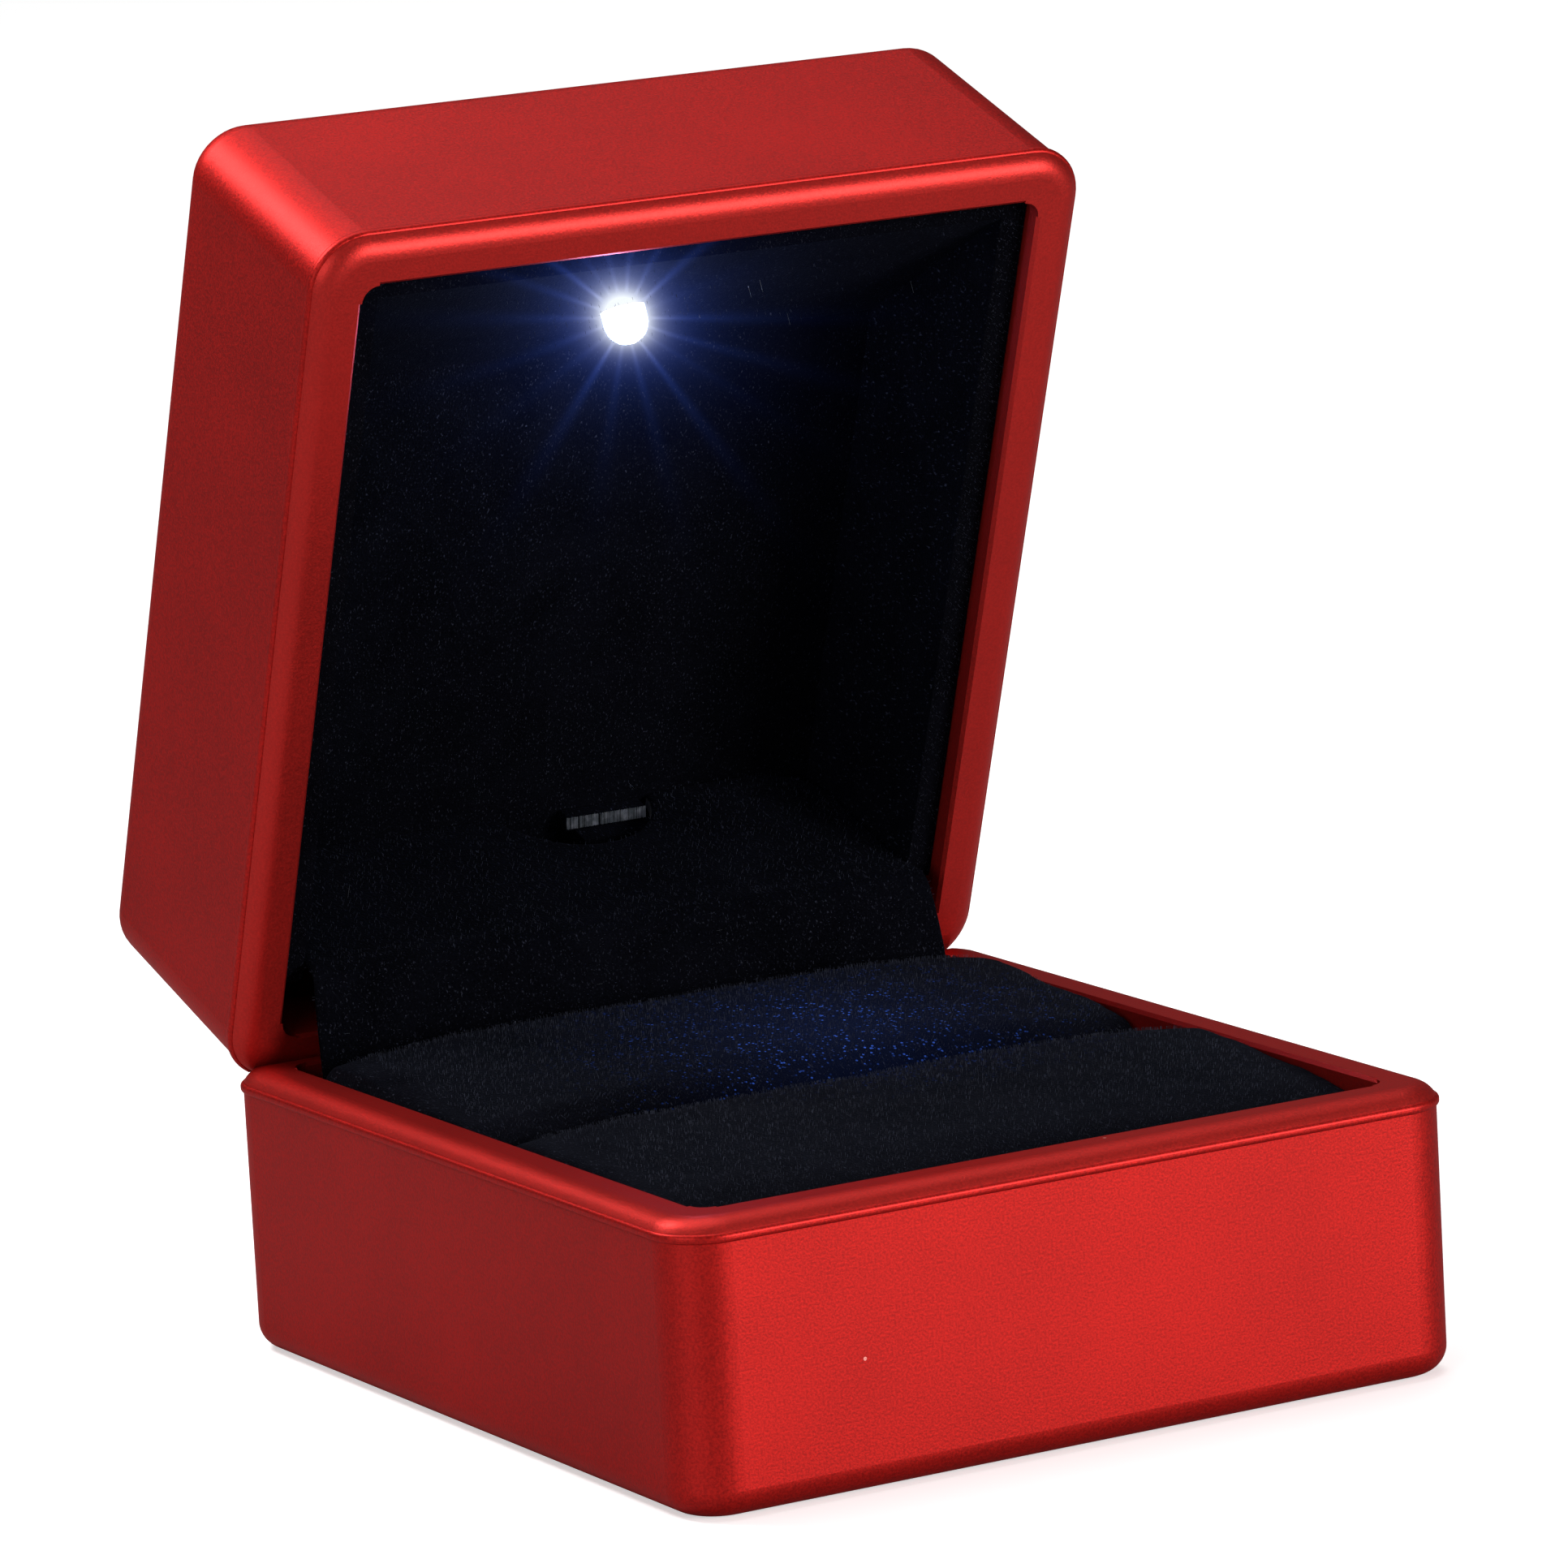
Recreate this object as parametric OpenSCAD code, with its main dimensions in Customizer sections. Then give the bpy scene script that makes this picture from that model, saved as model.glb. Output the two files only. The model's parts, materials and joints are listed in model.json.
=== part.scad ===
// Ring box with a lit lid, standing open.
// Origin: centre of the underside of the base. +X runs along the hinge, +Y to the back, +Z up.
// The lid is drawn shut and then turned open about the hinge line.

/* [Case] */
// width along the hinge
box_w = 60; // [56:0.5:66]
// depth from front to hinge side
box_d = 65; // [61:0.5:71]
// height of the base with its rim frame
base_h = 19.9; // [19:0.1:24]
// height of the lid with its rim frame
lid_h = 20.3; // [20:0.1:24]
// plan radius of the upright corners
corner_r = 4; // [3.8:0.1:5]
// radius along the floor and top panel edges
panel_edge_r = 1.9; // [1:0.1:1.9]
// thickness of the case walls
wall = 1.6; // [1.2:0.1:1.8]
// width of the flat rim frames
rim_w = 3.6; // [3.3:0.1:4]
// how far the lid is open
lid_open = 70; // [0:1:70]

/* [Lining] */
// height of the front ring roll above the rim
front_roll_up = 1.3; // [0.5:0.1:2]
// height of the rear ring roll above the rim
rear_roll_up = 2.2; // [0.5:0.1:3]
// depth of the lined hollow in the lid
hollow_d = 16.3; // [14:0.1:16.3]
// width of the half-moon notch in the lid floor
notch_w = 12.5; // [8:0.5:14]

/* [Hinge and lamp] */
// length of the butt hinge
hinge_len = 24; // [18:1:28]
// radius of the hinge pin
pin_r = 0.6; // [0.5:0.05:0.7]
// radius of the lamp's dome
led_r = 1.6; // [1.4:0.1:2]

/* [Hidden] */
$fn = 96;
eps = 0.01;
rim_gap = 0.3;              // space between the two rim faces when shut
rim_edge_r = 1.8;           // round of the rim frames' outer edge
parting = 0.9;              // depth of the parting line below the rim face
wall_inset = 0.2;           // walls stand this far inside the lip
lip_h = 0.7;                // fine lip along the case edge
lip_r = 0.3;
skirt_h = 4;                // glue skirt of a rim frame
glue_gap = 0.05;
rear_r = 2.85;              // rear rim edges roll clear of each other
inner_w = box_w - 2 * (wall + wall_inset);
inner_d = box_d - 2 * (wall + wall_inset);
inner_r = corner_r - wall;
mouth_w = box_w - 2 * rim_w;
mouth_d = box_d - 2 * rim_w;
mouth_r = 1.2;
mouth_cut = 0.25;           // fine chamfer round the mouth

hinge_y = box_d / 2 - 2.1;
hinge_z = base_h + rim_gap;
barrel_r = 1.3;
leaf_t = 0.6;
leaf_down = 8;
leaf_y = mouth_d / 2;
knuckle_half = hinge_len / 4;
side_play = 0.05;
bore_play = 0.05;
recess_half = hinge_len / 2 + 0.6;
screw_x = hinge_len / 2 - 3.5;
screw_down = 5;

tray_top = 9;
tray_t = 0.8;
roll_half_w = mouth_w / 2 - 0.4;
roll_round = 6;
roll_end_round = 4;
roll_crown_r = 240;         // slight crown of a roll along its length
slit = 0.8;
velvet_t = 1;
cover_half_w = 24.1;
cover_y = box_d / 2 - 6.2;  // front face of the hinge cover at rim height
cover_t = 0.6;
cover_lean = 1.5;           // the cover leans back this much above the rim
cover_top = hinge_z + 5.8;

flange_d = 1.5;
flange_t = 0.8;
liner_t = 0.8;
hollow_half_w = mouth_w / 2 - 2;
slope_y0 = -mouth_d / 2 + 1.7;
slope_y1 = slope_y0 + 14;
slope_ang = atan2(hollow_d - flange_d, slope_y1 - slope_y0); // of the slanted lamp wall
floor_y = cover_y - 2;
floor_d0 = 4;
floor_r = 3.5;
floor_card_t = 0.6;
floor_velvet_t = 0.35;
notch_x = 4.6;
notch_in = 5.4;

led_along = 11.7;           // lamp position along the slanted wall
led_proud = 0.8;            // straight part of the lamp in front of the wall
led_behind = 4.2;           // lamp body behind the wall
lead_bend = 8.5;            // how far behind the wall the leads turn to the board
board_y = -inner_d / 2 + 0.1;
board_t = 0.8;
board_half_w = 20.5;
cell_r = 6.25;
cell_t = 2;
cell_x = 11.5;
cell_d = 12;
cell_step = 0.4;            // smaller cap on the cell's inner side
switch_x = -17;
switch_y = cover_y + 1.3;
switch_d = 6.6;
plunger_r = 0.6;
wire_r = 0.3;
wire_d = lid_h - wall - 0.75;

base_shell();
base_rim_frame();
insert_tray();
front_roll_foam();
rear_roll_foam();
front_ring_roll();
rear_ring_roll();
hinge_cover();
cover_velvet();
hinge_base_leaf();
hinge_pin();
base_hinge_screws();
lid_shell();
lid_rim_frame();
lid_liner();
floor_card();
floor_velvet();
liner_tongue();
led_bulb();
led_holder();
led_leads();
circuit_board();
resistor();
coin_cells();
cell_clips();
switch_body();
switch_bracket();
switch_leads();
switch_plunger();
hinge_lid_leaf();
lid_hinge_screws();

// ---- shared shapes ----

// cross-section w wide and h high with rounded top and bottom edges, standing on z = 0
module edge_profile(w, h, rt, rb) {
    translate([-w / 2, rb]) square([w, h - rt - rb]);
    if (rb > 0) {
        translate([-w / 2 + rb, 0]) square([w - 2 * rb, h / 2]);
        for (s = [-1, 1]) translate([s * (w / 2 - rb), rb]) circle(rb);
    }
    if (rt > 0) {
        translate([-w / 2 + rt, h / 2]) square([w - 2 * rt, h / 2]);
        for (s = [-1, 1]) translate([s * (w / 2 - rt), h - rt]) circle(rt);
    }
}

// block with upright corners of radius r and rounded top and bottom edges
module rounded_block(w, d, h, r, rt, rb) {
    translate([0, d / 2 - r, 0]) rotate([90, 0, 0])
        linear_extrude(d - 2 * r) edge_profile(w, h, rt, rb);
    translate([-w / 2 + r, 0, 0]) rotate([90, 0, 90])
        linear_extrude(w - 2 * r) edge_profile(d, h, rt, rb);
    for (sx = [-1, 1], sy = [-1, 1]) translate([sx * (w / 2 - r), sy * (d / 2 - r), 0])
        rotate_extrude() intersection() {
            edge_profile(2 * r, h, rt, rb);
            square([r, h]);
        }
}

module rounded_plate(w, d, h, r) {
    linear_extrude(h) union() {
        square([w - 2 * r, d], center = true);
        square([w, d - 2 * r], center = true);
        for (sx = [-1, 1], sy = [-1, 1])
            translate([sx * (w / 2 - r), sy * (d / 2 - r)]) circle(r);
    }
}

// solid with a y-z outline, centred on x = 0
module across(w) {
    translate([-w / 2, 0, 0]) rotate([90, 0, 90]) linear_extrude(w) children();
}

module bar_x(x0, x1, y, z, r) {
    translate([x0, y, z]) rotate([0, 90, 0]) cylinder(h = x1 - x0, r = r);
}

// what is cut from the rear edge so that the halves roll clear of each other
module rear_relief() {
    difference() {
        translate([-box_w, box_d / 2 - rear_r, -rear_r]) cube([2 * box_w, rear_r + 1, rear_r + 1]);
        bar_x(-box_w - 1, box_w + 1, box_d / 2 - rear_r, -rear_r, rear_r);
    }
}

// room for the hinge in the rear bar; up is the hinge line's height above the rim face
module hinge_room(up) {
    bar_x(-recess_half, recess_half, hinge_y, up, barrel_r + 0.25);
    translate([-recess_half, leaf_y - 0.1, -leaf_t - 0.25])
        cube([2 * recess_half, hinge_y - leaf_y + 0.1, leaf_t + 1]);
    translate([-recess_half, leaf_y - 0.1, -leaf_down - 0.3])
        cube([2 * recess_half, leaf_t + 0.15, leaf_down + 1]);
}

// one half of the case, rim face at z = 0, closed end at -h
module case_half(h, up) {
    difference() {
        union() {
            translate([0, 0, -h])
                rounded_block(box_w - 2 * wall_inset, box_d - 2 * wall_inset, h - parting,
                              corner_r - wall_inset, 0, panel_edge_r);
            translate([0, 0, -parting - lip_h])
                rounded_block(box_w, box_d, lip_h, corner_r, lip_r, lip_r);
        }
        translate([0, 0, -h + wall]) rounded_plate(inner_w, inner_d, h, inner_r);
        rear_relief();
        hinge_room(up);
    }
}

// rim frame, rim face at z = 0
module rim_frame(up) {
    difference() {
        union() {
            intersection() {
                translate([0, 0, -2 * rim_edge_r])
                    rounded_block(box_w, box_d, 2 * rim_edge_r, corner_r, rim_edge_r, 0);
                translate([-box_w, -box_d, -parting]) cube([2 * box_w, 2 * box_d, parting + 1]);
            }
            translate([0, 0, -parting - skirt_h])
                rounded_plate(inner_w - 2 * glue_gap, inner_d - 2 * glue_gap, skirt_h + eps,
                              inner_r - glue_gap);
        }
        translate([0, 0, -parting - skirt_h - 1])
            rounded_plate(mouth_w, mouth_d, parting + skirt_h + 2, mouth_r);
        for (s = [-1, 1]) {
            translate([s * mouth_w / 2, mouth_d / 2 - mouth_r, 0]) rotate([90, 0, 0])
                linear_extrude(mouth_d - 2 * mouth_r) mouth_chamfer();
            translate([-mouth_w / 2 + mouth_r, s * mouth_d / 2, 0]) rotate([90, 0, 90])
                linear_extrude(mouth_w - 2 * mouth_r) mouth_chamfer();
        }
        rear_relief();
        hinge_room(up);
        for (s = [-1, 1]) translate([s * screw_x, leaf_y - 1, -screw_down]) rotate([-90, 0, 0])
            cylinder(h = 2.9, r = 0.52);
    }
}

module mouth_chamfer() {
    polygon([[-mouth_cut, eps], [mouth_cut, eps], [0, -mouth_cut]]);
}

// half a butt hinge, rim face at z = 0; the outer half owns the two end knuckles
module hinge_leaf(up, outer) {
    difference() {
        union() {
            translate([-hinge_len / 2, leaf_y, -leaf_t - 0.2])
                cube([hinge_len, hinge_y - leaf_y, leaf_t]);
            translate([-hinge_len / 2, leaf_y, -leaf_down])
                cube([hinge_len, leaf_t, leaf_down - 0.2]);
            if (outer) {
                bar_x(-hinge_len / 2, -knuckle_half - side_play, hinge_y, up, barrel_r);
                bar_x(knuckle_half + side_play, hinge_len / 2, hinge_y, up, barrel_r);
            } else {
                bar_x(-knuckle_half + side_play, knuckle_half - side_play, hinge_y, up, barrel_r);
            }
        }
        bar_x(-hinge_len, hinge_len, hinge_y, up, pin_r + (outer ? 0.01 : bore_play));
        if (outer) {
            bar_x(-knuckle_half - side_play, knuckle_half + side_play, hinge_y, up, barrel_r + 0.1);
        } else {
            bar_x(-hinge_len, -knuckle_half + side_play, hinge_y, up, barrel_r + 0.1);
            bar_x(knuckle_half - side_play, hinge_len, hinge_y, up, barrel_r + 0.1);
        }
        for (s = [-1, 1]) translate([s * screw_x, leaf_y - eps, -screw_down]) rotate([-90, 0, 0]) {
            cylinder(h = 1, r = 0.55);
            cylinder(h = 0.31, r = 0.95);
        }
    }
}

// flush screws of one leaf
module leaf_screws() {
    for (s = [-1, 1]) translate([s * screw_x, leaf_y, -screw_down]) rotate([-90, 0, 0]) {
        cylinder(h = 0.29, r = 0.9);
        cylinder(h = 1.8, r = 0.5);
    }
}

// place a piece drawn against the base's rim face, or against the lid's with the lid open
module on_base() { translate([0, 0, base_h]) children(); }
module on_lid() { lid_pose() translate([0, 0, hinge_z]) mirror([0, 0, 1]) children(); }
module in_lid() { lid_pose() translate([0, 0, hinge_z]) children(); }
module lid_pose() {
    translate([0, hinge_y, hinge_z]) rotate([-lid_open, 0, 0])
        translate([0, -hinge_y, -hinge_z]) children();
}

// ---- base ----

module base_shell() { color("firebrick") on_base() case_half(base_h, rim_gap); }

module base_rim_frame() { color("crimson") on_base() rim_frame(rim_gap); }

module insert_tray() {
    leg_x = mouth_w / 2 - 5;
    leg_y = mouth_d / 2 - 6;
    color("dimgray") {
        translate([0, 0, tray_top - tray_t])
            rounded_plate(mouth_w - 0.4, mouth_d - 0.4, tray_t, mouth_r);
        for (sx = [-1, 1], sy = [-1, 1]) translate([sx * leg_x, sy * leg_y, wall])
            cylinder(h = tray_top - tray_t - wall + eps, r = 2);
    }
}

// a roll from y0 to y1, its crown at height top, drawn in by inset all round
module roll_body(y0, y1, top, inset) {
    w = 2 * (roll_half_w - inset);
    low = tray_top + inset;
    high = top - inset;
    intersection() {
        translate([0, (y0 + y1) / 2, low]) across(w + 2)
            edge_profile(y1 - y0 - 2 * inset, high - low, roll_round - inset, 0);
        translate([0, y1 - inset, 0]) rotate([90, 0, 0]) linear_extrude(y1 - y0 - 2 * inset)
            intersection() {
                translate([0, low]) edge_profile(w, high - low, roll_end_round - inset, 0);
                translate([0, high - roll_crown_r]) circle(roll_crown_r, $fn = 360);
            }
    }
}

module front_span(inset) {
    roll_body(-mouth_d / 2 + 0.4, -slit / 2, base_h + front_roll_up, inset);
}

module rear_span(inset) { roll_body(slit / 2, cover_y - 0.7, base_h + rear_roll_up, inset); }

module front_roll_foam() { color("lightgray") front_span(velvet_t + 0.02); }
module rear_roll_foam() { color("lightgray") rear_span(velvet_t + 0.02); }

module front_ring_roll() {
    color("black") difference() {
        front_span(0);
        front_span(velvet_t);
    }
}

module rear_ring_roll() {
    color("black") difference() {
        rear_span(0);
        rear_span(velvet_t);
    }
}

module hinge_cover() {
    color("dimgray") across(2 * cover_half_w) polygon([
        [cover_y, tray_top], [cover_y + cover_t, tray_top],
        [cover_y + cover_t, base_h - 0.3], [cover_y + cover_t + cover_lean, cover_top],
        [cover_y + cover_lean, cover_top], [cover_y, base_h - 0.3]]);
}

module cover_velvet() {
    skin = 0.4;
    color("black") across(2 * cover_half_w) polygon([
        [cover_y - skin, base_h - 3], [cover_y - 0.02, base_h - 3],
        [cover_y - 0.02, base_h - 0.3], [cover_y + cover_lean - 0.02, cover_top],
        [cover_y + cover_lean - skin, cover_top], [cover_y - skin, base_h - 0.3]]);
}

module hinge_base_leaf() { color("goldenrod") on_base() hinge_leaf(rim_gap, true); }

module hinge_pin() {
    color("silver") {
        bar_x(-hinge_len / 2 - 0.2, hinge_len / 2 + 0.2, hinge_y, hinge_z, pin_r);
        bar_x(-hinge_len / 2 - 0.4, -hinge_len / 2 - 0.05, hinge_y, hinge_z, 0.9);
        bar_x(hinge_len / 2 + 0.05, hinge_len / 2 + 0.4, hinge_y, hinge_z, 0.9);
    }
}

module base_hinge_screws() { color("silver") on_base() leaf_screws(); }

// ---- lid ----

module lid_shell() { color("firebrick") on_lid() case_half(lid_h, 0); }

module lid_rim_frame() { color("crimson") on_lid() rim_frame(0); }

// flocked tray: flange inside the mouth, side walls, slanted wall and back panel
module lid_liner() {
    out_w = hollow_half_w + liner_t + 0.1;
    flange_w = mouth_w / 2 - 0.1;
    side_y1 = floor_y + 1;
    back = hollow_d + liner_t;
    color("black") in_lid() difference() {
        union() {
            for (s = [-1, 1]) translate([s * (hollow_half_w + out_w) / 2, 0, 0])
                across(out_w - hollow_half_w) polygon([
                    [slope_y0, flange_d], [side_y1, flange_d], [side_y1, back],
                    [slope_y1, back], [slope_y0 - 0.8, flange_d + 0.2]]);
            across(2 * out_w) polygon([
                [slope_y0, flange_d], [slope_y1, hollow_d], [slope_y1, back],
                [slope_y1 - 0.5, back], [slope_y0 - 1.1, flange_d]]);
            translate([-out_w, slope_y1 - eps, hollow_d])
                cube([2 * out_w, cover_y + 1.2 - slope_y1, liner_t]);
            translate([-flange_w, -mouth_d / 2 + 0.1, flange_d])
                cube([2 * flange_w, slope_y0 + mouth_d / 2 - 0.1, flange_t]);
            for (s = [-1, 1]) translate([s * (flange_w + hollow_half_w) / 2, 0, flange_d + flange_t / 2])
                translate([0, (side_y1 - mouth_d / 2 + 0.1) / 2, 0])
                    cube([flange_w - hollow_half_w, side_y1 + mouth_d / 2 - 0.1, flange_t],
                         center = true);
        }
        led_axis_local() translate([0, 0, -4]) cylinder(h = 6, r = led_r + 0.15);
    }
}

// frame on the slanted wall, +Z pointing out of it into the hollow
module led_axis_local() {
    translate([0, slope_y0 + led_along * cos(slope_ang), flange_d + led_along * sin(slope_ang)])
        rotate([-(180 - slope_ang), 0, 0]) children();
}

// outline of the lid floor in x and depth, with rounded rear corners and the half-moon notch
module floor_outline() {
    depth = hollow_d - 0.15 - floor_d0;
    difference() {
        union() {
            translate([-cover_half_w, 0]) square([2 * cover_half_w, depth - floor_r]);
            translate([-cover_half_w + floor_r, 0])
                square([2 * (cover_half_w - floor_r), depth]);
            for (s = [-1, 1])
                translate([s * (cover_half_w - floor_r), depth - floor_r]) circle(floor_r);
        }
        intersection() {
            translate([notch_x, depth + notch_moon() - notch_in]) circle(notch_moon());
            translate([notch_x - notch_w, depth - notch_in - 1]) square([2 * notch_w, notch_in + 2]);
        }
    }
}

// radius of the half-moon through its two tips and its bottom
function notch_moon() = (notch_w * notch_w / 4 + notch_in * notch_in) / (2 * notch_in);

// a slab of the floor outline, t thick, front face at height y
module floor_slab(y, t) {
    in_lid() translate([0, y + t, floor_d0]) rotate([90, 0, 0])
        linear_extrude(t) floor_outline();
}

module floor_card() { color("dimgray") floor_slab(floor_y + 0.02, floor_card_t); }

module floor_velvet() {
    color("black") floor_slab(floor_y - floor_velvet_t, floor_velvet_t);
}

module liner_tongue() {
    color("black") in_lid() translate([notch_x - 0.2, floor_y + 0.9, hollow_d - 3])
        cube([6.4, 1, 3 - eps]);
}

module led_bulb() {
    color("white") in_lid() led_axis_local() {
        translate([0, 0, -led_behind]) cylinder(h = led_behind + led_proud, r = led_r);
        translate([0, 0, led_proud]) sphere(led_r);
        translate([0, 0, -led_behind]) cylinder(h = 1, r = led_r + 0.4);
    }
}

module led_holder() {
    color("dimgray") in_lid() led_axis_local() translate([0, 0, -3.1]) difference() {
        cylinder(h = 2.1, r = led_r + 1.4);
        translate([0, 0, -1]) cylinder(h = 5, r = led_r + 0.05);
    }
}

module led_leads() {
    lead_r = 0.25;
    lead_x = 1.1;
    ly = slope_y0 + led_along * cos(slope_ang) - lead_bend * sin(slope_ang);
    ld = flange_d + led_along * sin(slope_ang) + lead_bend * cos(slope_ang);
    color("silver") in_lid() for (s = [-lead_x, lead_x]) {
        translate([s, 0, 0]) led_axis_local() translate([0, 0, -lead_bend])
            cylinder(h = lead_bend - led_behind, r = lead_r);
        translate([s, board_y + board_t, ld]) rotate([-90, 0, 0])
            cylinder(h = ly - board_y - board_t + lead_r, r = lead_r);
    }
}

module circuit_board() {
    low = parting + skirt_h + 0.3;
    color("green") in_lid() translate([-board_half_w, board_y, low])
        cube([2 * board_half_w, board_t, lid_h - wall - 1.1 - low]);
}

module resistor() {
    color("tan") in_lid() translate([0, board_y + board_t + 0.95, 8]) rotate([0, 90, 0]) {
        cylinder(h = 3.2, r = 0.9, center = true);
        cylinder(h = 5.2, r = 0.3, center = true);
    }
}

module coin_cells() {
    color("silver") in_lid() for (s = [-1, 1])
        translate([s * cell_x, board_y + board_t + 0.02, cell_d]) rotate([-90, 0, 0]) {
            cylinder(h = cell_t - cell_step, r = cell_r);
            translate([0, 0, cell_t - cell_step - eps]) cylinder(h = cell_step, r = cell_r - 0.7);
        }
}

module cell_clips() {
    top = lid_h - wall - 0.1;
    y1 = board_y + board_t + cell_t + 0.05;
    color("gold") in_lid() for (s = [-1, 1]) translate([s * cell_x - 1.5, 0, 0]) {
        translate([0, y1, cell_d - 3]) cube([3, 0.3, top - cell_d + 3]);
        translate([0, board_y + board_t + 0.02, top - 0.3]) cube([3, cell_t + 0.2, 0.3]);
    }
}

module switch_body() {
    color("dimgray") in_lid() difference() {
        translate([switch_x - 3, switch_y - 2.2, switch_d]) cube([6, 3.4, 5]);
        translate([switch_x, switch_y, switch_d - 1]) cylinder(h = 3.1, r = plunger_r + 0.05);
    }
}

module switch_bracket() {
    color("dimgray") in_lid() translate([switch_x - 0.5, switch_y - 2, switch_d + 5.02])
        cube([3, 1.6, hollow_d - switch_d - 5.04]);
}

// two wires from the switch up behind the back panel and along to the board
module switch_leads() {
    up_y = switch_y + 0.75;
    end_y = board_y + board_t + 0.3;
    color("firebrick") in_lid() for (i = [0, 1]) translate([switch_x - 1.5 - i * 0.9, 0, 0]) {
        translate([0, up_y, switch_d + 5.02]) cylinder(h = wire_d - switch_d - 5.02, r = wire_r);
        translate([0, up_y, wire_d]) sphere(wire_r);
        translate([0, end_y, wire_d]) rotate([-90, 0, 0])
            cylinder(h = up_y - end_y, r = wire_r);
    }
}

module switch_plunger() {
    color("white") in_lid() translate([switch_x, switch_y, switch_d - 0.7])
        cylinder(h = 2, r = plunger_r);
}

module hinge_lid_leaf() { color("goldenrod") on_lid() hinge_leaf(0, false); }

module lid_hinge_screws() { color("silver") on_lid() leaf_screws(); }
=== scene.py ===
import json
from math import cos, pi, radians, sin

import bpy
import numpy as np
from mathutils import Matrix, Vector


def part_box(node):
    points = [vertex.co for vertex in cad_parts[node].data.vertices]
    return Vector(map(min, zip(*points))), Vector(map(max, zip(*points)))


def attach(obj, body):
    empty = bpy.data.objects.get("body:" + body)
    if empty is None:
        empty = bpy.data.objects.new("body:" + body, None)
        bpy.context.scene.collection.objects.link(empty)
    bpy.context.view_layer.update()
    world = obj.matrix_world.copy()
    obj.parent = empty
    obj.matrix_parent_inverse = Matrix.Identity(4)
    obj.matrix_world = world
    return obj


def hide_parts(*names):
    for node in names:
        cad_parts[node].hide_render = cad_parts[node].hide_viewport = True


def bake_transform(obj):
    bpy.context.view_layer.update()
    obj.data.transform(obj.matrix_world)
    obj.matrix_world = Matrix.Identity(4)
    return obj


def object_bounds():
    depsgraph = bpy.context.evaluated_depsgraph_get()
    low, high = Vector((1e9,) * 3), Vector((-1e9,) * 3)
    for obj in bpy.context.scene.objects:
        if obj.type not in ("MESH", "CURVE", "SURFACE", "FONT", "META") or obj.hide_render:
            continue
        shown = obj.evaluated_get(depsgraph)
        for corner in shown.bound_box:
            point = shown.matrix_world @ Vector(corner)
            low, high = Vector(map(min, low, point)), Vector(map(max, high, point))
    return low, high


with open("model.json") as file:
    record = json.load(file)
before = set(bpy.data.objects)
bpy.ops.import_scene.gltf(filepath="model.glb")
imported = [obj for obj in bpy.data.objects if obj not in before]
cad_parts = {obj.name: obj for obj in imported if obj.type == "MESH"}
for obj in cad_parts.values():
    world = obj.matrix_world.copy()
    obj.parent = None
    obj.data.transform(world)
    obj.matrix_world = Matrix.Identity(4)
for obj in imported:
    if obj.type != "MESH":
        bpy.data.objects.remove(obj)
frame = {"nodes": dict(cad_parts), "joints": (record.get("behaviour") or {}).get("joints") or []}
cadLow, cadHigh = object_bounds()
mm = 0.001


def say(stage):
    print("ring box:", stage, flush=True)


# the lid's own coordinates: x, y and depth above the rim, as if the lid were shut
hingeJoint = next(j for j in frame["joints"] if j["name"] == "lid_hinge")
hingePoint = Vector(hingeJoint["pos_m"])
openTurn = radians(hingeJoint["range_deg"][1])
lidPlace = (
    Matrix.Translation(hingePoint)
    @ Matrix.Rotation(-openTurn, 4, "X")
    @ Matrix.Translation((0, -hingePoint.y, 0))
)


def lidBox(node):
    back = lidPlace.inverted()
    corners = [back @ v.co for v in frame["nodes"][node].data.vertices]
    low = Vector([min(p[i] for p in corners) for i in range(3)])
    high = Vector([max(p[i] for p in corners) for i in range(3)])
    return low, high


def clearSelection():
    if bpy.context.object and bpy.context.object.mode != "OBJECT":
        bpy.ops.object.mode_set(mode="OBJECT")
    bpy.ops.object.select_all(action="DESELECT")


def makeActive(piece):
    clearSelection()
    piece.select_set(True)
    bpy.context.view_layer.objects.active = piece


def nameNew(name):
    piece = bpy.context.active_object
    piece.name = name
    piece.data.name = name
    return piece


def settle(piece):
    makeActive(piece)
    bpy.ops.object.transform_apply(location=True, rotation=True, scale=True)


def applyNow(piece, kind, **values):
    makeActive(piece)
    modifier = piece.modifiers.new(kind.title(), kind)
    for key, value in values.items():
        setattr(modifier, key, value)
    bpy.ops.object.modifier_apply(modifier=modifier.name)


def pickAll(piece):
    # selects all of the piece and leaves it in edit mode
    makeActive(piece)
    bpy.ops.object.mode_set(mode="EDIT")
    bpy.ops.mesh.select_mode(type="VERT")
    bpy.ops.mesh.select_all(action="SELECT")


def pick(piece, wanted, mode="VERT"):
    # selects what wanted() is true of: a point, a face's middle, or an edge's two ends
    makeActive(piece)
    bpy.ops.object.mode_set(mode="EDIT")
    bpy.ops.mesh.select_mode(type=mode)
    bpy.ops.mesh.select_all(action="DESELECT")
    bpy.ops.object.mode_set(mode="OBJECT")
    mesh = piece.data
    if mode == "FACE":
        for face in mesh.polygons:
            face.select = wanted(face.center)
    elif mode == "EDGE":
        for edge in mesh.edges:
            edge.select = wanted(*[mesh.vertices[i].co for i in edge.vertices])
    else:
        for vert in mesh.vertices:
            vert.select = wanted(vert.co)
    bpy.ops.object.mode_set(mode="EDIT")


def stopEditing():
    bpy.ops.object.mode_set(mode="OBJECT")


def softLumps(piece, size, strength):
    texture = bpy.data.textures.new(piece.name + "Lumps", "CLOUDS")
    texture.noise_scale = size
    applyNow(piece, "DISPLACE", texture=texture, strength=strength, mid_level=0.5)


def points(piece):
    flat = np.zeros(len(piece.data.vertices) * 3)
    piece.data.vertices.foreach_get("co", flat)
    return flat.reshape(-1, 3)


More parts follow.
